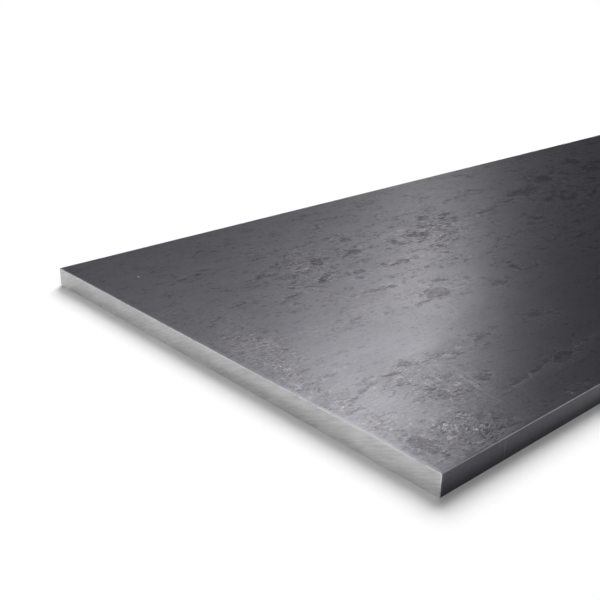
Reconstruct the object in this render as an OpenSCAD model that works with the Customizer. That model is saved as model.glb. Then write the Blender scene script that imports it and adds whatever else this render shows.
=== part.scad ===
// Hot-rolled steel plate: one flat length of stock, dark with mill scale on both
// faces and on its rolled long edges, and sawn square and bright at both ends.
//
// The plate lies flat. X runs along its length, which is the rolling direction,
// Y across its width and Z up through its thickness. The origin is the middle of
// the underside.

/* [Plate] */
// Length between the sawn ends, along the rolling direction, in mm
plate_length = 1000; // [200:10:3000]
// Width between the rolled long edges, in mm
plate_width = 400; // [100:5:1250]
// Thickness between the two rolled faces, in mm
plate_thickness = 15; // [5:0.5:60]

/* [Edges] */
// Radius that the rolls leave along the four long corners, in mm
rolled_corner_radius = 0.8; // [0.2:0.1:2]
// Width of the file-broken corner all round each sawn end, in mm
sawn_corner_break = 0.3; // [0.1:0.1:1]

/* [Hidden] */
$fn = 64;

half_length = plate_length / 2;
half_width = plate_width / 2;
// how far a profile runs past the plate, so that it cuts right through it
overrun = 1;

// Cross-section of the rolled stock, drawn with X across the width and Y up.
module rolled_section() {
    r = rolled_corner_radius;
    translate([-half_width + r, 0])
        square([plate_width - 2 * r, plate_thickness]);
    translate([-half_width, r])
        square([plate_width, plate_thickness - 2 * r]);
    for (side = [-1, 1], level = [r, plate_thickness - r])
        translate([side * (half_width - r), level])
            circle(r);
}

// The rolled stock as it leaves the mill, cut off square at both ends.
module rolled_stock() {
    rotate([90, 0, 90])
        translate([0, 0, -half_length])
            linear_extrude(plate_length)
                rolled_section();
}

// Rectangle centred on the origin with its four corners cut off at 45 degrees.
module broken_rectangle(across, up, cut) {
    x = across / 2;
    y = up / 2;
    polygon([
        [x - cut, y], [-x + cut, y], [-x, y - cut], [-x, -y + cut],
        [-x + cut, -y], [x - cut, -y], [x, -y + cut], [x, y - cut]
    ]);
}

// Breaks the top and bottom corners of both sawn ends.
module side_profile() {
    translate([0, half_width + overrun, plate_thickness / 2])
        rotate([90, 0, 0])
            linear_extrude(plate_width + 2 * overrun)
                broken_rectangle(plate_length, plate_thickness, sawn_corner_break);
}

// Breaks the upright corners of both sawn ends.
module plan_profile() {
    translate([0, 0, -overrun])
        linear_extrude(plate_thickness + 2 * overrun)
            broken_rectangle(plate_length, plate_width, sawn_corner_break);
}

module plate() {
    color([0.28, 0.28, 0.30])
        intersection() {
            rolled_stock();
            side_profile();
            plan_profile();
        }
}

plate();
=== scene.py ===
"""A flat length of hot-rolled steel plate on a pale studio floor.

The plate lies flat with its rolling direction along X. Its two faces and its long
edges carry dark mill scale, and its two ends are sawn and bright.
"""

import math
import random

import bmesh
import bpy
from mathutils import Euler, Matrix, Vector, kdtree, noise


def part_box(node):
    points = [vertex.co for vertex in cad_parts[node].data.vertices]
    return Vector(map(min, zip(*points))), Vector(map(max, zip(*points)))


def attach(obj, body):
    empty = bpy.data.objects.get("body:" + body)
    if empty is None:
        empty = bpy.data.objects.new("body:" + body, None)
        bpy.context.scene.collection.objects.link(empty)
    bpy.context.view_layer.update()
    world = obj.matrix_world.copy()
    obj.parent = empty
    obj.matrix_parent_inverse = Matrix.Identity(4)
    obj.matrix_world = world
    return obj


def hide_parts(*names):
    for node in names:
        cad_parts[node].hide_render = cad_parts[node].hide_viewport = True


bl_info = {
    "name": "Hot-rolled steel plate",
    "version": (1, 0, 0),
    "blender": (4, 5, 0),
    "location": "View3D > Sidebar > Steel Plate",
    "description": "Builds a steel plate with mill scale and sawn ends, and a studio to show it in",
    "category": "Add Mesh",
}

MM = 0.001

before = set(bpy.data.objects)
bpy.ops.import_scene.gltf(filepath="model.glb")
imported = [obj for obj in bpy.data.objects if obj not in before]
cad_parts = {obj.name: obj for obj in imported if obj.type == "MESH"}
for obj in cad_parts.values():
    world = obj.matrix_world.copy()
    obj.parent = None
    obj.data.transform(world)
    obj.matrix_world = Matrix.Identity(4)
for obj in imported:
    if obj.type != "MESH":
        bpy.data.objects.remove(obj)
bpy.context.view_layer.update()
LOW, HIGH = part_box("plate")
THICKNESS = HIGH.z - LOW.z

SAME = 0.01 * MM  # two places nearer than this count as one
MARK_DEPTH = 0.1 * MM  # how far round a corner, below its face, a mark still reaches
CORNER_SEGMENTS = 4
SHARP_ANGLE = math.radians(35)
FLAT_MARGIN = 1.2 * MM  # ground next to each face's edges that the relief leaves flat
FACE_WAVE = (220 * MM, 130 * MM)  # waves of the rolled faces, along and across the plate
EDGE_WAVE = (80 * MM, 4 * MM)  # waves of the long edges, along and up
SAW_WAVE = (2.4 * MM, 30 * MM)  # strokes on the sawn ends, across and along a stroke
FLOOR_REACH = 6.0
BOX_DISTANCE = 4.0

# Marks on the top face, each with the x and y of its middle, its length, width, turn in
# degrees and strength. Sizes are in millimetres, x from the front sawn end and y from
# the right long edge.
# Patches where the scale has flaked away:
FLAKED = [
    (190, 164, 34, 17, -8, 1.0),
    (168, 158, 26, 7, 8, 0.8),
    (213, 180, 14, 9, 0, 0.8),
    (208, 271, 26, 12, 18, 0.9),
    (256, 268, 12, 22, 0, 0.9),
    (288, 270, 24, 18, -20, 1.0),
    (270, 262, 22, 8, 0, 0.6),
    (280, 256, 26, 5, 28, 0.8),
    (308, 283, 7, 13, -20, 0.8),
    (298, 249, 24, 5, 20, 0.8),
    (332, 300, 22, 10, 20, 0.9),
    (358, 294, 18, 9, -10, 0.8),
    (348, 280, 30, 22, 10, 0.5),
    (400, 276, 48, 8, 8, 1.0),
    (442, 281, 26, 4, 5, 0.7),
    (475, 296, 30, 9, 15, 1.0),
    (480, 284, 26, 6, 15, 0.8),
    (548, 315, 52, 13, 8, 1.0),
    (585, 324, 22, 8, 20, 0.9),
    (512, 263, 34, 11, 10, 0.7),
    (592, 280, 18, 12, -30, 1.0),
    (490, 290, 50, 18, 15, 0.7),
    (466, 266, 8, 5, 0, 0.9),
    (484, 258, 36, 4, 25, 1.0),
    (505, 250, 40, 13, 15, 0.7),
    (516, 306, 9, 6, 0, 0.9),
    (545, 308, 40, 14, 5, 0.7),
    (586, 313, 15, 8, 20, 0.9),
    (602, 335, 11, 5, 20, 0.8),
    (545, 273, 13, 8, -20, 0.8),
    (540, 285, 44, 5, 5, 0.6),
    (596, 295, 13, 8, 0, 0.6),
    (540, 243, 42, 5, 20, 0.9),
    (667, 318, 14, 10, 0, 0.9),
    (640, 310, 50, 18, 20, 0.6),
    (630, 355, 13, 8, 0, 0.7),
    (628, 335, 15, 8, 0, 0.7),
    (705, 348, 12, 6, 0, 0.8),
    (690, 362, 20, 7, 15, 1.0),
    (410, 324, 60, 6, 5, 0.7),
    (350, 327, 34, 5, 0, 0.6),
    (450, 333, 24, 9, -30, 0.7),
    (485, 382, 18, 8, 0, 0.8),
    (480, 260, 30, 4, 25, 0.8),
    (415, 228, 13, 10, 0, 0.9),
    (268, 220, 14, 5, -20, 0.8),
    (262, 206, 15, 8, 0, 0.6),
    (226, 301, 15, 12, 0, 0.8),
    (233, 313, 12, 12, 0, 0.6),
    (222, 340, 30, 6, 10, 0.6),
    (150, 199, 26, 6, 0, 0.8),
    (174, 196, 12, 6, -10, 0.9),
    (320, 252, 26, 5, 10, 0.8),
    (168, 273, 22, 13, 35, 0.8),
    (148, 243, 28, 9, 25, 0.8),
    (178, 235, 14, 10, 10, 0.6),
    (112, 278, 18, 14, 0, 0.5),
    (70, 314, 58, 11, 10, 0.42),
    (104, 230, 20, 4, 5, 0.9),
    (62, 244, 28, 8, 15, 0.4),
    (216, 229, 36, 5, -3, 0.9),
    (168, 224, 11, 6, -20, 0.8),
    (94, 216, 13, 4, 0, 0.6),
    (38, 222, 15, 11, 30, 0.5),
    (160, 197, 18, 6, 0, 0.6),
    (106, 168, 14, 6, 0, 0.6),
    (132, 160, 7, 5, 0, 0.8),
    (232, 168, 9, 6, 0, 0.8),
    (36, 117, 26, 5, 10, 0.7),
    (45, 130, 44, 14, 0, 0.35),
    (244, 145, 18, 10, 0, 0.9),
    (284, 158, 9, 14, -10, 0.9),
    (302, 150, 16, 4, 38, 0.8),
    (378, 182, 16, 5, 20, 0.7),
    (400, 170, 30, 8, 15, 0.5),
    (215, 88, 28, 15, -15, 0.6),
    (60, 93, 20, 4, -8, 0.9),
    (36, 89, 20, 4, 18, 0.8),
    (80, 97, 16, 8, 5, 0.6),
    (60, 78, 15, 5, -10, 0.6),
    (105, 91, 34, 5, -5, 0.6),
    (150, 90, 30, 6, 5, 0.7),
    (115, 86, 9, 11, 0, 0.5),
    (143, 81, 16, 5, 0, 0.6),
    (68, 57, 32, 13, -50, 0.5),
    (103, 51, 15, 7, 15, 0.8),
    (125, 36, 52, 5, 5, 0.8),
    (166, 37, 26, 9, 5, 1.0),
    (195, 41, 24, 5, 0, 0.8),
    (15, 25, 12, 24, 0, 0.9),
    (50, 7, 60, 11, 0, 0.5),
    (135, 6, 30, 8, 0, 0.5),
]
# Places where the scale is pitted and lumpy:
PITTED = [
    (24, 175, 50, 60, 0, 1.0),
    (12, 125, 26, 40, 0, 1.0),
    (14, 88, 24, 34, 0, 0.7),
    (35, 222, 34, 34, 0, 0.6),
    (75, 165, 44, 34, 0, 0.4),
    (125, 178, 64, 44, 0, 0.4),
    (150, 272, 34, 20, 20, 1.0),
    (130, 250, 70, 44, 20, 0.5),
    (160, 292, 50, 34, 20, 0.5),
    (322, 268, 56, 48, 10, 1.0),
    (270, 206, 34, 40, 0, 0.5),
    (45, 20, 66, 44, 0, 0.9),
    (78, 56, 56, 50, 0, 0.8),
    (14, 50, 30, 34, 0, 0.6),
    (100, 88, 150, 22, 2, 0.5),
    (170, 40, 60, 18, 5, 0.5),
]
# Small spots that are rubbed or chipped down to bright steel:
BARE = [
    (39, 27, 12, 15, 20, 1.0),
    (49, 17, 18, 6, -10, 1.0),
    (55, 30, 9, 9, 0, 0.8),
    (38, 340, 6, 7, 0, 1.0),
    (87, 252, 13, 5, 20, 0.9),
    (172, 44, 7, 4, 0, 0.6),
    (202, 82, 4, 4, 0, 0.8),
    (295, 341, 7, 5, 0, 0.9),
    (344, 298, 9, 6, 0, 0.8),
    (450, 318, 9, 5, 0, 0.9),
    (440, 356, 9, 6, 0, 0.7),
    (604, 353, 10, 7, 0, 0.8),
    (155, 285, 16, 8, 20, 0.6),
    (325, 275, 12, 18, 10, 0.7),
    (120, 256, 12, 5, 20, 0.7),
    (198, 345, 14, 12, 0, 0.5),
    (9, 120, 6, 6, 0, 0.8),
    (20, 150, 24, 50, 0, 0.42),
    (26, 190, 24, 44, 0, 0.42),
]
# Ground where something was dragged across the plate:
SCRAPED = [
    (90, 52, 16, 56, -8, 1.0),
    (76, 62, 16, 34, -20, 0.7),
    (55, 50, 20, 40, -15, 0.5),
]
# Single scratches, each with the x and y of its middle, its length, width and turn:
SCRATCHES = [
    (88, 44, 62, 1.0, 80),
    (92, 48, 50, 0.8, 82),
    (84, 52, 40, 0.8, 79),
    (104, 20, 44, 0.8, 64),
    (150, 120, 70, 0.7, 12),
    (210, 75, 60, 0.7, 8),
    (17, 266, 34, 1.4, 21),
    (15, 270, 30, 1.1, 19),
    (21, 262, 28, 1.1, 24),
]


class PlateSizes(bpy.types.PropertyGroup):
    """Sizes of the plate's corners, of its relief and of the grid that carries them."""

    corner_radius: bpy.props.FloatProperty(
        name="Rolled corner radius",
        description="Radius that the rolls leave along the four long corners",
        default=0.8 * MM,
        unit="LENGTH",
    )
    corner_break: bpy.props.FloatProperty(
        name="Sawn corner break",
        description="Width of the file-broken corner round each sawn end",
        default=0.3 * MM,
        unit="LENGTH",
    )
    waviness: bpy.props.FloatProperty(
        name="Waviness",
        description="How far the rolled faces dip below flat in their long soft waves",
        default=0.10 * MM,
        unit="LENGTH",
    )
    flake_depth: bpy.props.FloatProperty(
        name="Flake depth",
        description="Thickness of the scale, which is missing where it has flaked away",
        default=0.05 * MM,
        unit="LENGTH",
    )
    stroke_depth: bpy.props.FloatProperty(
        name="Stroke depth",
        description="Depth of the marks that the saw leaves on the ends",
        default=0.05 * MM,
        unit="LENGTH",
    )
    block: bpy.props.FloatProperty(
        name="Block",
        description="Length of the blocks that every face is first cut into",
        default=12.5 * MM,
        unit="LENGTH",
    )
    face_cuts: bpy.props.IntProperty(
        name="Face cuts",
        description="More cuts that each block gets on the top face and the long edges",
        default=4,
    )
    end_cuts: bpy.props.IntProperty(
        name="End cuts",
        description="More cuts that each block gets across the sawn ends",
        default=9,
    )


class ScaleFinish(bpy.types.PropertyGroup):
    """Colours and gloss of the mill scale."""

    scale_colour: bpy.props.FloatVectorProperty(
        name="Scale",
        description="Colour of sound mill scale",
        default=(0.0920, 0.0912, 0.0970),
        subtype="COLOR",
    )
    warm_colour: bpy.props.FloatVectorProperty(
        name="Warm",
        description="Colour of the browner scale on pitted ground",
        default=(0.0940, 0.0912, 0.0930),
        subtype="COLOR",
    )
    flaked_colour: bpy.props.FloatVectorProperty(
        name="Flaked",
        description="Colour of the thinner scale left where flakes have come away",
        default=(0.0945, 0.0912, 0.100),
        subtype="COLOR",
    )
    # Bluer colour for the long edges, part of their painted shade.
    edge_shade_colour: bpy.props.FloatVectorProperty(
        name="Long edges",
        description="Colour of the bluer scale along the plate's two long edges",
        default=(0.0945, 0.0925, 0.1080),
        subtype="COLOR",
    )
    # Bare steel colour: used for the rubbed-bare flecks and for the painted highlight along the
    # upper corners.
    bare_and_highlight_colour: bpy.props.FloatVectorProperty(
        name="Bare flecks",
        description="Colour of the small flecks and corners that are rubbed bare",
        default=(0.36, 0.358, 0.37),
        subtype="COLOR",
    )
    gloss: bpy.props.FloatProperty(
        name="Roughness",
        description="Roughness of sound mill scale",
        default=0.31,
        subtype="FACTOR",
    )
    relief: bpy.props.FloatProperty(
        name="Relief",
        description="Height of the fine lumps and flakes in the scale",
        default=0.06 * MM,
        unit="LENGTH",
    )


class SawnFinish(bpy.types.PropertyGroup):
    """Colour and gloss of the sawn steel."""

    steel_colour: bpy.props.FloatVectorProperty(
        name="Steel",
        description="Colour of freshly sawn steel",
        default=(0.353, 0.353, 0.348),
        subtype="COLOR",
    )
    stroke_angle: bpy.props.FloatProperty(
        name="Stroke angle",
        description="Lean of the saw marks from the plate's width",
        default=math.radians(-26),
        subtype="ANGLE",
    )
    stroke_spacing: bpy.props.FloatProperty(
        name="Stroke spacing",
        description="Distance from one saw mark to the next",
        default=1.3 * MM,
        unit="LENGTH",
    )
    gloss: bpy.props.FloatProperty(
        name="Roughness",
        description="Roughness of the sawn steel",
        default=0.42,
        subtype="FACTOR",
    )
    # Brighter colour for the sawn ends' upper corners: partly rubbed steel, partly a painted
    # highlight.
    rubbed_highlight_colour: bpy.props.FloatVectorProperty(
        name="Rubbed corners",
        description="Colour of the brighter corners round the sawn ends",
        default=(0.8, 0.8, 0.8),
        subtype="COLOR",
    )
    relief: bpy.props.FloatProperty(
        name="Relief",
        description="Height of the fine saw marks",
        default=0.06 * MM,
        unit="LENGTH",
    )


class StudioSettings(bpy.types.PropertyGroup):
    """The camera, the floor and the lights."""

    lens: bpy.props.FloatProperty(
        name="Lens",
        description="Focal length of the camera, in millimetres on a 36 mm sensor",
        default=53.87,
    )
    heading: bpy.props.FloatProperty(
        name="Heading",
        description="Way the camera looks, turned from the plate's length",
        default=math.radians(47.99),
        subtype="ANGLE",
    )
    pitch: bpy.props.FloatProperty(
        name="Pitch",
        description="How far the camera looks down",
        default=math.radians(22.11),
        subtype="ANGLE",
    )
    roll: bpy.props.FloatProperty(
        name="Roll",
        description="How far the camera leans about its own line of sight",
        default=math.radians(0.415),
        subtype="ANGLE",
    )
    camera_from_corner: bpy.props.FloatVectorProperty(
        name="Camera place",
        description="Where the camera stands, from the bottom of the plate's front right corner",
        default=(-0.3128, -0.2393, 0.2665),
        subtype="TRANSLATION",
        unit="LENGTH",
    )
    floor_colour: bpy.props.FloatVectorProperty(
        name="Floor",
        description="Colour of the studio floor",
        default=(0.82, 0.82, 0.82),
        subtype="COLOR",
    )
    box_colour: bpy.props.FloatVectorProperty(
        name="Soft boxes",
        description="Colour of the soft boxes that shine in the steel",
        default=(1.0, 0.99, 1.02),
        subtype="COLOR",
    )
    surroundings: bpy.props.FloatVectorProperty(
        name="Surroundings",
        description="Colour of the dim room that the plate reflects",
        default=(0.062, 0.061, 0.077),
        subtype="COLOR",
    )
    backdrop: bpy.props.FloatProperty(
        name="Backdrop",
        description="Brightness of the white behind the plate",
        default=1.1,
    )


class Wire:
    """One output of a node, which can be used in sums."""

    def __init__(self, finish, socket):
        self.finish = finish
        self.socket = socket

    def __add__(self, other):
        return self.finish.maths("ADD", self, other)

    def __radd__(self, other):
        return self.finish.maths("ADD", other, self)

    def __sub__(self, other):
        return self.finish.maths("SUBTRACT", self, other)

    def __rsub__(self, other):
        return self.finish.maths("SUBTRACT", other, self)

    def __mul__(self, other):
        return self.finish.maths("MULTIPLY", self, other)

    def __rmul__(self, other):
        return self.finish.maths("MULTIPLY", other, self)


class Finish:
    """The nodes of a material or of the surroundings, added one call at a time."""

    def __init__(self, owner):
        owner.use_nodes = True
        self.tree = owner.node_tree
        self.tree.nodes.clear()
        self.here = None

    def node(self, kind, settings=None, inputs=None, output=None):
        """Adds a node, sets it up, fills or links its sockets and gives one output."""
        made = self.tree.nodes.new(kind)
        for name, value in (settings or {}).items():
            setattr(made, name, value)
        for name, value in (inputs or {}).items():
            socket = next(s for s in made.inputs if s.enabled and s.name == name)
            self.fill(socket, value)
        outputs = [s for s in made.outputs if s.enabled and output in (None, s.name)]
        return Wire(self, outputs[0]) if outputs else None

    def fill(self, socket, value):
        """Links a socket to another node, or sets its value."""
        if isinstance(value, Wire):
            self.tree.links.new(value.socket, socket)
        else:
            socket.default_value = value

    def maths(self, operation, *values):
        """Adds a Math node."""
        made = self.tree.nodes.new("ShaderNodeMath")
        made.operation = operation
        for socket, value in zip(made.inputs, values):
            self.fill(socket, value)
        return Wire(self, made.outputs[0])

    def step(self, value, low, high):
        """0 on low's side, 1 on high's side and a soft change between; either may be larger."""
        settings = {"interpolation_type": "SMOOTHSTEP"}
        inputs = {"Value": value, "From Min": low, "From Max": high}
        return self.node("ShaderNodeMapRange", settings, inputs)

    def line(self, value, middle, half_width):
        """1 where a value is near the middle, and 0 away from it: noise gives thin curls."""
        return self.step(self.maths("ABSOLUTE", value - middle), half_width, half_width * 0.3)

    def mix(self, factor, first, second):
        """Goes from the first colour to the second."""
        inputs = {"Factor": factor, "A": first, "B": second}
        return self.node("ShaderNodeMix", {"data_type": "RGBA"}, inputs)

    def tint(self, values, shade):
        """A colour made lighter or darker from place to place."""
        inputs = {"Vector": values, "Scale": shade}
        return self.node("ShaderNodeVectorMath", {"operation": "SCALE"}, inputs)

    def place(self, cell, turn=(0, 0, 0), middle=(0, 0, 0)):
        """Object coordinates counted in cells of this size, turned about their middle."""
        if self.here is None:
            self.here = self.node("ShaderNodeTexCoord", output="Object")
        settings = {"vector_type": "TEXTURE"}
        inputs = {"Vector": self.here, "Location": middle, "Rotation": turn, "Scale": cell}
        return self.node("ShaderNodeMapping", settings, inputs)

    def cloud(self, cell, detail=2.0, roughness=0.5, distortion=0.0, turn=(0, 0, 0)):
        """Soft noise from 0 to 1 whose lumps are about one cell large."""
        inputs = {
            "Vector": self.place(cell, turn),
            "Scale": 1.0,
            "Detail": detail,
            "Roughness": roughness,
            "Distortion": distortion,
        }
        return self.node("ShaderNodeTexNoise", None, inputs)

    def spot(self, reach, turn, middle):
        """One round, long or thin spot that fades out from its middle."""
        settings = {"gradient_type": "SPHERICAL"}
        inputs = {"Vector": self.place(reach, turn, middle)}
        return self.node("ShaderNodeTexGradient", settings, inputs, output="Fac")

    def painted(self, name):
        """A mask that the mesh carries."""
        return self.node("ShaderNodeAttribute", {"attribute_name": name}, output="Fac")

    def surface(self, height, reach, shader):
        """Ends a material with a bump of the given height and the shader's sockets."""
        inputs = {"Height": height, "Distance": reach, "Strength": 1.0}
        bump = self.node("ShaderNodeBump", None, inputs)
        skin = self.node("ShaderNodeBsdfPrincipled", None, {**shader, "Normal": bump})
        self.node("ShaderNodeOutputMaterial", None, {"Surface": skin})


def tone_of(values):
    """A property's colour with its alpha."""
    return (*values, 1.0)


def mill_scale(finish):
    """Dark scale with flaked patches, pitted ground, fine streaks and bare flecks."""
    material = bpy.data.materials.new("mill_scale")
    made = Finish(material)
    clouds = made.cloud((130 * MM, 70 * MM, 70 * MM), 3.0, 0.55)
    mottle = made.cloud((34 * MM, 15 * MM, 15 * MM), 8.0, 0.70, 0.3)
    shreds = made.cloud((11 * MM, 4.4 * MM, 4.4 * MM), 6.0, 0.70)
    swells = made.cloud((13 * MM, 6 * MM, 6 * MM), 3.0, 0.6)
    bits = made.cloud((7.5 * MM, 4.2 * MM, 4.2 * MM), 3.0, 0.6)
    dents = made.cloud((5 * MM, 3.2 * MM, 3.2 * MM), 3.0, 0.6)
    lumps = made.cloud((4.6 * MM, 3.2 * MM, 3.2 * MM), 2.0, 0.6, 1.2)
    grain = made.cloud((2.4 * MM, 1.7 * MM, 1.7 * MM), 3.0, 0.7, 0.3)
    rolled = made.cloud((70 * MM, 1.4 * MM, 1.4 * MM), 2.0, 0.5)

    # Most wear lies in a long belt down the plate's left half.
    belt_middle = (LOW.x + 500 * MM, LOW.y + 300 * MM, 0)
    belt = made.step(made.spot((900 * MM, 350 * MM, 90 * MM), (0, 0, 0), belt_middle), 0.28, 0.70)
    worn = made.step(mottle, 0.52, 0.56)
    pitted = made.painted("pitted")
    zone = made.maths("MAXIMUM", pitted, made.painted("scuffed") * 0.9)
    zone = made.maths("MAXIMUM", zone, worn * (belt * 0.6 + 0.15) + 0.1)
    torn = made.painted("flaked") * 1.1 + worn * belt * 0.12 + (shreds - 0.5) * 2.9
    flakes = made.step(torn, 0.52, 0.58)
    rims = made.line(torn, 0.46, 0.08) * made.step(zone, 0.25, 0.6)
    crumbs = made.step(zone * 0.28 + (bits - 0.5) * 3.6, 0.46, 0.52)

    # Small things: pits, specks and beads in the scale, and curls of bare steel.
    pits = made.step(lumps + (grain - 0.5) * 0.3, 0.44, 0.34) * pitted
    specks = made.step(lumps + (grain - 0.5) * 0.3, 0.57, 0.66) * zone
    beads = made.step(lumps, 0.63, 0.72) * pitted
    curls = made.line(lumps, 0.5, 0.035) * made.step(grain, 0.42, 0.60)
    chipped = made.painted("bare") * 0.9 + curls * 0.75 + (shreds - 0.5) * 1.2
    flecks = made.step(chipped, 0.95, 1.25)

    # Scraped ground, the single scratches, and one nick in the long edge.
    combed = made.cloud((1.1 * MM, 60 * MM, 60 * MM), 2.0, 0.6, 0.0, (0, 0, math.radians(-9)))
    scrapes = made.step(combed, 0.54, 0.66) * made.painted("scraped")
    for x, y, length, width, turn in SCRATCHES:
        reach = (length * MM / 2, width * MM / 2, 5 * MM)
        middle = (LOW.x + x * MM, LOW.y + y * MM, HIGH.z)
        scratch = made.spot(reach, (0, 0, math.radians(turn)), middle)
        scrapes = made.maths("MAXIMUM", scrapes, scratch)
    nick_middle = (LOW.x + 54 * MM, LOW.y, THICKNESS / 2)
    nick = made.spot((0.5 * MM, 5 * MM, 9 * MM), (0, 0, 0), nick_middle)

    # The shade multiplies the colour. The long edges are calmer than the faces, and darker: that
    # darkening is painted shade on the plate's sides.
    edge = made.painted("edge")
    calm = 1.0 - edge * 0.7
    cloudy = (clouds - 0.5) * 0.6 - (mottle - 0.5) * (belt * 0.7 + 0.2)
    cloudy = cloudy - worn * (belt * 0.12 + 0.03)
    marks = (specks * 0.42 - pits * 0.56) * (belt * 0.8 + 1.0) + rims * 0.30
    marks = marks + beads * 0.75 + scrapes * 0.55
    marks = marks - made.maths("MAXIMUM", flakes * 0.37, crumbs * 0.29) * (belt * 0.9 + 1.05)
    marks = marks + (dents - 0.5) * zone * (belt * 3.4 + 0.9)
    shade = cloudy + marks + (grain - 0.5) * 0.8 + (rolled - 0.5) * 0.3
    # edge * 0.36 darkens the long edges: painted shade.
    shade = 1.13 + shade * calm + nick * 0.8 - edge * 0.36
    shade = made.maths("MAXIMUM", shade, 0.12)
    warm = made.step(lumps, 0.40, 0.62) * pitted
    hue = made.mix(warm, tone_of(finish.scale_colour), tone_of(finish.warm_colour))
    hue = made.mix(flakes, hue, tone_of(finish.flaked_colour))
    # The long edges take a bluer colour, part of their painted shade.
    hue = made.mix(edge, hue, tone_of(finish.edge_shade_colour))
    tone = made.tint(hue, shade)
    tone = made.mix(flecks, tone, tone_of(finish.bare_and_highlight_colour))
    # The upper corners are mixed a third of the way to bare steel: partly wear, partly a painted
    # highlight.
    tone = made.mix(made.painted("rubbed_and_highlit") * 0.35, tone, tone_of(finish.bare_and_highlight_colour))

    # Gloss and fine relief.
    dull = flakes * 0.01 + zone * 0.01 + (mottle - 0.5) * 0.02 - rims * 0.01
    rough = finish.gloss + dull - (clouds - 0.5) * 0.05 + (rolled - 0.5) * 0.03
    lumpy = (dents - 0.5) * zone * (belt * 2.4 + pitted * 0.8 + 1.6)
    lumpy = lumpy + (grain - 0.5) * (zone * 0.6 + 0.2)
    lumpy = lumpy + (swells - 0.5) * belt * zone * 2.0
    height = lumpy * calm + specks * 0.4 - pits * 0.4 - flakes * 0.35 + flecks * 0.4
    shader = {"Base Color": tone, "Roughness": rough, "Metallic": 1.0}
    made.surface(height - scrapes * 0.3, finish.relief, shader)
    return material


def sawn_steel(finish):
    """Bright grey steel with slanting saw marks."""
    material = bpy.data.materials.new("sawn_steel")
    made = Finish(material)
    lean = (finish.stroke_angle, 0, 0)
    across = finish.stroke_spacing
    strokes = made.cloud((50 * MM, 22 * MM, across), 3.0, 0.6, 0.6, lean)
    fine = made.cloud((50 * MM, 9 * MM, 0.35 * across), 2.0, 0.6, 0.0, lean)
    clouds = made.cloud((30 * MM, 26 * MM, 9 * MM), 3.0, 0.5)
    marks = (strokes - 0.5) * 0.7 + (fine - 0.5) * 0.5
    tone = made.tint(tuple(finish.steel_colour), 1.0 + marks * 0.8 + (clouds - 0.5) * 0.3)
    # The sawn ends' upper corners are lightened, broken by nicks: partly rubbed steel, partly a
    # painted highlight.
    nicks = made.step(made.cloud((9 * MM, 5 * MM, 4 * MM), 2.0), 0.34, 0.44)
    tone = made.mix(made.painted("rubbed_and_highlit") * nicks * 0.5, tone, tone_of(finish.rubbed_highlight_colour))
    rough = finish.gloss + (clouds - 0.5) * 0.1 + marks * 0.1
    shader = {"Base Color": tone, "Roughness": rough, "Metallic": 1.0}
    made.surface(marks, finish.relief, shader)
    return material


def studio_floor(studio):
    """Plain pale matte floor."""
    material = bpy.data.materials.new("studio_floor")
    made = Finish(material)
    clouds = made.cloud((0.7, 0.7, 0.7), 2.0)
    tone = made.tint(tuple(studio.floor_colour), 0.99 + clouds * 0.02)
    shader = {"Base Color": tone, "Roughness": 0.9, "Specular IOR Level": 0.1}
    made.surface(clouds, 0.01 * MM, shader)
    return material


def white_surroundings(studio):
    """A dim room, tinted only where the steel mirrors it, and white to the camera's own rays."""
    world = bpy.data.worlds.new("studio")
    made = Finish(world)
    seen = made.node("ShaderNodeLightPath", output="Is Camera Ray")
    mirrored = made.node("ShaderNodeLightPath", output="Is Glossy Ray")
    plain = sum(studio.surroundings) / 3
    room = made.mix(mirrored, tone_of((plain,) * 3), tone_of(studio.surroundings))
    tone = made.mix(seen, room, tone_of((studio.backdrop,) * 3))
    background = made.node("ShaderNodeBackground", None, {"Color": tone})
    made.node("ShaderNodeOutputWorld", None, {"Surface": background})
    return world


def cut_across(bm, axis, places):
    """Cuts the whole mesh by planes that stand square to one axis."""
    facing = Vector((0, 0, 0))
    facing[axis] = 1
    for place in places:
        everything = bm.verts[:] + bm.edges[:] + bm.faces[:]
        bmesh.ops.bisect_plane(
            bm,
            geom=everything,
            dist=0.01 * SAME,
            plane_co=facing * place,
            plane_no=facing,
        )


def block_lines(low, high, block):
    """Evenly spaced places between two ends, about a block apart."""
    count = max(1, round((high - low) / block))
    return [low + (high - low) * i / count for i in range(1, count)]


def lies_in(edge, axis, place):
    """True if both ends of an edge lie in a plane square to one axis."""
    return all(abs(v.co[axis] - place) < 0.1 * SAME for v in edge.verts)


def rises_along(edge, axis):
    """True if an edge runs along one axis."""
    run = edge.verts[1].co - edge.verts[0].co
    return abs(run[axis]) > 0.99 * run.length


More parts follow.
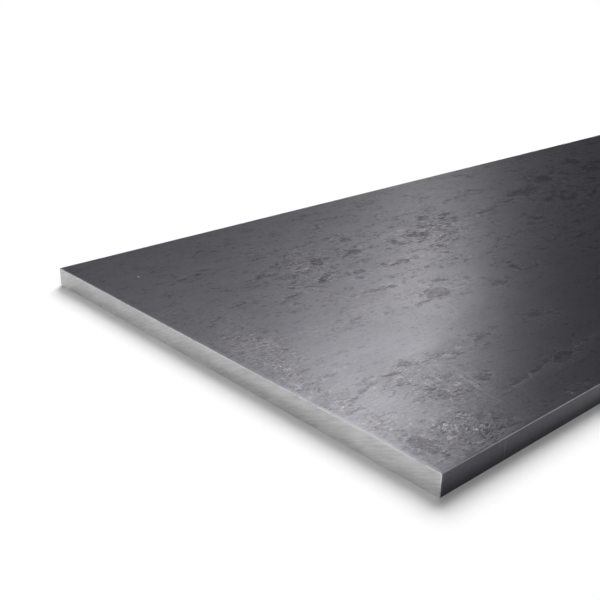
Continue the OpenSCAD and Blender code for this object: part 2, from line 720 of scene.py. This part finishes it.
def cut_plate(bm, sizes):
    """The plate's block, with its corners rounded and broken and its faces cut into a grid."""
    size = HIGH - LOW
    made = bmesh.ops.create_cube(bm, size=1.0)
    bmesh.ops.scale(bm, vec=size, verts=made["verts"])
    bmesh.ops.translate(bm, vec=(LOW + HIGH) / 2, verts=made["verts"])

    long_edges = [e for e in bm.edges if rises_along(e, 0)]
    bmesh.ops.bevel(
        bm,
        geom=long_edges,
        affect="EDGES",
        offset=sizes.corner_radius,
        segments=CORNER_SEGMENTS,
        profile=0.5,
        material=-1,
    )
    end_edges = [e for e in bm.edges if lies_in(e, 0, LOW.x) or lies_in(e, 0, HIGH.x)]
    bmesh.ops.bevel(
        bm,
        geom=end_edges,
        affect="EDGES",
        offset=sizes.corner_break,
        segments=1,
        profile=0.5,
        material=-1,
    )

    # Two lines run beside each long corner: one where its curve ends and one just past it.
    side = sizes.corner_radius
    support = 1.5 * sizes.corner_radius
    rows = [LOW.z + side, LOW.z + support, HIGH.z - support, HIGH.z - side]
    cut_across(bm, 2, rows + block_lines(LOW.z + support, HIGH.z - support, sizes.block / 2))
    columns = [LOW.y + side, LOW.y + support, HIGH.y - support, HIGH.y - side]
    cut_across(bm, 1, columns + block_lines(LOW.y + support, HIGH.y - support, sizes.block))
    cut_across(bm, 0, block_lines(LOW.x, HIGH.x, sizes.block))

    top = [e for e in bm.edges if lies_in(e, 2, HIGH.z)]
    bmesh.ops.subdivide_edges(bm, edges=top, cuts=sizes.face_cuts, use_grid_fill=True)
    for along in (LOW.y, HIGH.y):
        edges = [e for e in bm.edges if lies_in(e, 1, along) and rises_along(e, 0)]
        bmesh.ops.subdivide_edges(bm, edges=edges, cuts=sizes.face_cuts, use_grid_fill=True)
    for end in (LOW.x, HIGH.x):
        across = [e for e in bm.edges if lies_in(e, 0, end) and rises_along(e, 1)]
        bmesh.ops.subdivide_edges(bm, edges=across, cuts=sizes.end_cuts, use_grid_fill=True)
        upright = [e for e in bm.edges if lies_in(e, 0, end) and rises_along(e, 2)]
        bmesh.ops.subdivide_edges(bm, edges=upright, cuts=sizes.end_cuts // 2, use_grid_fill=True)


def paint(bm, tree, name, marks, level, spread=1.0):
    """Writes marks into a mask on one face, each strong in its middle and fading out."""
    layer = bm.verts.layers.float[name]
    for x, y, length, width, turn, strength in marks:
        middle = Vector((LOW.x + x * MM, LOW.y + y * MM, level))
        back = Matrix.Rotation(-math.radians(turn), 3, "Z")
        along = length * spread * MM / 2
        across = width * spread * MM / 2
        for place, index, _ in tree.find_range(middle, 1.5 * max(along, across)):
            offset = back @ (place - middle)
            away = math.hypot(offset.x / along, offset.y / across)
            if abs(offset.z) < MARK_DEPTH:
                vert = bm.verts[index]
                vert[layer] = max(vert[layer], strength * min(max(1.5 - away, 0.0), 1.0))


def scattered(seed, count, low, high):
    """Marks like the ones that are listed, spread over a stretch of the plate.

    The stretch and the marks are in millimetres, as in the lists at the top.
    """
    draw = random.Random(seed)
    marks = []
    for _ in range(count):
        x = draw.uniform(low[0], high[0])
        y = draw.uniform(low[1], high[1])
        length = draw.uniform(12, 52)
        width = draw.uniform(0.15, 0.5) * length
        marks.append((x, y, length, width, draw.uniform(-15, 30), draw.uniform(0.5, 1.0)))
    return marks


def fade_at_edges(place, axes, reach):
    """1 over most of a face, and 0 at its edges."""
    gaps = [min(place[a] - LOW[a], HIGH[a] - place[a]) for a in axes]
    return min(max((min(gaps) - FLAT_MARGIN) / reach, 0.0), 1.0)


def soft_noise(x, y, z):
    """Smooth noise from 0 to 1 that changes over about one unit."""
    return 0.5 + 0.5 * noise.noise(Vector((x, y, z)))


def roll_relief(bm, sizes, lean):
    """Sinks the faces by their waves, their missing scale and the saw's strokes."""
    flaked = bm.verts.layers.float["flaked"]
    for vert in bm.verts:
        place = vert.co.copy()
        if place.z > HIGH.z - SAME or place.z < LOW.z + SAME:
            wave = soft_noise(place.x / FACE_WAVE[0], place.y / FACE_WAVE[1], place.z)
            dip = sizes.waviness * wave + sizes.flake_depth * vert[flaked]
            way = -1 if place.z > THICKNESS / 2 else 1
            vert.co.z += way * dip * fade_at_edges(place, (0, 1), 8 * MM)
        elif abs(place.y) > HIGH.y - SAME:
            wave = soft_noise(place.x / EDGE_WAVE[0], place.y, place.z / EDGE_WAVE[1])
            way = -math.copysign(1, place.y)
            vert.co.y += way * sizes.waviness * wave * fade_at_edges(place, (0, 2), 1.5 * MM)
        elif abs(place.x) > HIGH.x - SAME:
            along = place.y * math.cos(lean) + place.z * math.sin(lean)
            across = place.z * math.cos(lean) - place.y * math.sin(lean)
            stroke = soft_noise(across / SAW_WAVE[0], along / SAW_WAVE[1], place.x)
            way = -math.copysign(1, place.x)
            vert.co.x += way * sizes.stroke_depth * stroke * fade_at_edges(place, (1, 2), 1 * MM)


def rub_and_highlight_corners(bm, sizes):
    """Marks the corners, which handling rubs bright and which also carry a painted highlight, and
    the two long edges, which take painted shade.

    The upper front corners get the full mark; the back long corner and the corners underneath, which
    catch little light, are hardly marked.
    """
    rubbed_and_highlit = bm.verts.layers.float["rubbed_and_highlit"]
    edge = bm.verts.layers.float["edge"]
    for vert in bm.verts:
        gaps = sorted(min(vert.co[a] - LOW[a], HIGH[a] - vert.co[a]) for a in range(3))
        # The upper front corners are lightened as a painted highlight as well as by rubbing; the
        # other corners get a fifth as much.
        handled_and_lit = vert.co.z > THICKNESS / 2 and vert.co.y < HIGH.y - sizes.corner_radius
        worn = 1.0 if handled_and_lit else 0.2
        vert[rubbed_and_highlit] = worn * (1.0 - min(gaps[1] / sizes.corner_radius, 1.0))
        vert[edge] = float(abs(vert.co.y) > HIGH.y - SAME)


def paint_marks(bm):
    """Writes every mark on the top face and the underside into the mesh's masks."""
    top = {
        "flaked": FLAKED
        + scattered(3, 60, (600, 0), (1000, 400))
        + scattered(4, 25, (300, 0), (620, 160)),
        "pitted": PITTED + scattered(5, 30, (500, 0), (1000, 400)),
        "bare": BARE,
        "scraped": SCRAPED,
    }
    underside = {
        "flaked": scattered(6, 90, (0, 0), (1000, 400)),
        "pitted": scattered(7, 50, (0, 0), (1000, 400)),
    }
    for name in (*top, "scuffed", "rubbed_and_highlit", "edge"):
        bm.verts.layers.float.new(name)
    bm.verts.ensure_lookup_table()
    tree = kdtree.KDTree(len(bm.verts))
    for vert in bm.verts:
        tree.insert(vert.co, vert.index)
    tree.balance()
    for level, masks in ((HIGH.z, top), (LOW.z, underside)):
        for name, marks in masks.items():
            paint(bm, tree, name, marks, level)
        # The scale round a flake is scuffed to twice the flake's size.
        paint(bm, tree, "scuffed", masks["flaked"], level, 2.0)


def make_plate(sizes, scale, sawn):
    """The whole plate as one piece, in two finishes."""
    bm = bmesh.new()
    cut_plate(bm, sizes)
    bmesh.ops.recalc_face_normals(bm, faces=bm.faces[:])
    sawn_from = HIGH.x - sizes.corner_break / 2
    for face in bm.faces:
        face.smooth = True
        face.material_index = int(abs(face.calc_center_median().x) > sawn_from)
    paint_marks(bm)
    rub_and_highlight_corners(bm, sizes)
    roll_relief(bm, sizes, sawn.stroke_angle)
    mesh = bpy.data.meshes.new("plate_stock")
    bm.to_mesh(mesh)
    bm.free()
    mesh.set_sharp_from_angle(angle=SHARP_ANGLE)
    mesh.materials.append(mill_scale(scale))
    mesh.materials.append(sawn_steel(sawn))
    plate = bpy.data.objects.new("plate_stock", mesh)
    bpy.context.scene.collection.objects.link(plate)
    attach(plate, "root")
    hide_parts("plate")


def make_camera(studio):
    """Stands the camera off the plate's front right corner."""
    data = bpy.data.cameras.new("camera")
    data.sensor_width = 36
    data.lens = studio.lens
    data.clip_start = 0.01
    data.clip_end = 100
    camera = bpy.data.objects.new("camera", data)
    look = Euler((math.pi / 2 - studio.pitch, 0, studio.heading - math.pi / 2))
    turn = look.to_matrix() @ Matrix.Rotation(studio.roll, 3, "Z")
    camera.matrix_world = Matrix.LocRotScale(LOW + Vector(studio.camera_from_corner), turn, None)
    bpy.context.scene.collection.objects.link(camera)
    bpy.context.scene.camera = camera


def add_light(name, kind, energy, place, aim, **settings):
    """A lamp that looks from one place at another."""
    data = bpy.data.lights.new(name, kind)
    data.energy = energy
    for key, value in settings.items():
        setattr(data, key, value)
    lamp = bpy.data.objects.new(name, data)
    way = Vector(aim) - Vector(place)
    lamp.matrix_world = Matrix.LocRotScale(Vector(place), way.to_track_quat("-Z", "Y"), None)
    lamp.visible_camera = False
    bpy.context.scene.collection.objects.link(lamp)
    return lamp


def direction(heading, height):
    """A way in space, from an angle round the plate and one above the floor, in degrees."""
    turn = math.radians(heading)
    rise = math.radians(height)
    return Vector((math.cos(turn) * math.cos(rise), math.sin(turn) * math.cos(rise), math.sin(rise)))


# The lights that cast the shadows and don't show in the steel: heading, height above the
# floor and spread, all in degrees, and power.
SUNS = (
    ("back_light", 40, 42, 46, 4.7),
    ("front_light", 268, 47, 30, 0.8),
)
# The soft boxes that show in the steel and light nothing else: heading and height above the
# floor in degrees, width and height in metres, and power.
BOXES = (
    ("right_back_box", 42, 27, 0.35, 0.45, 4.7),
    ("back_box", 48.5, 34.4, 0.55, 0.3, 8.7),
    ("left_back_box", 65, 62, 1.5, 3.4, 140),
    ("left_box", 172, 10, 2.4, 1.4, 212),
    ("right_box", -31, 44, 1.6, 1.6, 33),
    ("top_box", 50, 85, 2.5, 2.5, 30),
    ("left_side_box", 135, 22, 3.0, 1.6, 15),
    ("front_box", 225, 22, 3.0, 1.6, 15),
    ("right_side_box", 315, 22, 3.0, 1.6, 15),
)


def make_stage(studio):
    """The floor, the white backdrop, the dim room and the lights."""
    bm = bmesh.new()
    bmesh.ops.create_grid(bm, x_segments=1, y_segments=1, size=FLOOR_REACH)
    mesh = bpy.data.meshes.new("studio_floor")
    bm.to_mesh(mesh)
    bm.free()
    mesh.materials.append(studio_floor(studio))
    floor = bpy.data.objects.new("studio_floor", mesh)
    bpy.context.scene.collection.objects.link(floor)

    bpy.context.scene.world = white_surroundings(studio)

    centre = (LOW + HIGH) / 2
    for name, heading, height, spread, power in SUNS:
        place = centre + direction(heading, height)
        sun = add_light(name, "SUN", power, place, centre, angle=math.radians(spread))
        sun.visible_glossy = False
    for name, heading, height, width, tall, power in BOXES:
        place = centre + direction(heading, height) * BOX_DISTANCE
        settings = {"shape": "RECTANGLE", "size": width, "size_y": tall, "color": studio.box_colour}
        box = add_light(name, "AREA", power, place, centre, **settings)
        box.visible_diffuse = False

    view = bpy.context.scene.view_settings
    view.view_transform = "Standard"
    view.look = "None"


class SteelPlateCamera(bpy.types.Operator):
    """Add the camera."""

    bl_idname = "steel_plate.camera"
    bl_label = "Add Camera"

    def execute(self, context):
        make_camera(context.scene.plate_studio)
        return {"FINISHED"}


class SteelPlateStock(bpy.types.Operator):
    """Add the plate with its mill scale and its sawn ends."""

    bl_idname = "steel_plate.stock"
    bl_label = "Add Plate"

    def execute(self, context):
        scene = context.scene
        make_plate(scene.plate_sizes, scene.plate_scale, scene.plate_sawn)
        return {"FINISHED"}


class SteelPlateStage(bpy.types.Operator):
    """Add the floor, the surroundings and the lights."""

    bl_idname = "steel_plate.stage"
    bl_label = "Add Stage"

    def execute(self, context):
        make_stage(context.scene.plate_studio)
        return {"FINISHED"}


class SteelPlatePanel(bpy.types.Panel):
    """Sizes, finishes and the steps that build the plate."""

    bl_idname = "VIEW3D_PT_steel_plate"
    bl_label = "Steel Plate"
    bl_space_type = "VIEW_3D"
    bl_region_type = "UI"
    bl_category = "Steel Plate"

    def draw(self, context):
        for group in GROUPS:
            settings = getattr(context.scene, group)
            for name in settings.__annotations__:
                self.layout.prop(settings, name)
        for step in STEPS:
            self.layout.operator(step)


GROUPS = {
    "plate_sizes": PlateSizes,
    "plate_scale": ScaleFinish,
    "plate_sawn": SawnFinish,
    "plate_studio": StudioSettings,
}
STEPS = ("steel_plate.camera", "steel_plate.stock", "steel_plate.stage")
CLASSES = (
    *GROUPS.values(),
    SteelPlateCamera,
    SteelPlateStock,
    SteelPlateStage,
    SteelPlatePanel,
)


def register():
    """Registers the classes and gives the scene its settings."""
    for kind in CLASSES:
        bpy.utils.register_class(kind)
    for name, kind in GROUPS.items():
        setattr(bpy.types.Scene, name, bpy.props.PointerProperty(type=kind))


def unregister():
    """Takes the settings and the classes away again."""
    for name in GROUPS:
        delattr(bpy.types.Scene, name)
    for kind in reversed(CLASSES):
        bpy.utils.unregister_class(kind)


def main():
    """Builds everything in order."""
    register()
    bpy.ops.steel_plate.camera()
    bpy.ops.steel_plate.stock()
    bpy.ops.steel_plate.stage()


if __name__ == "__main__":
    main()
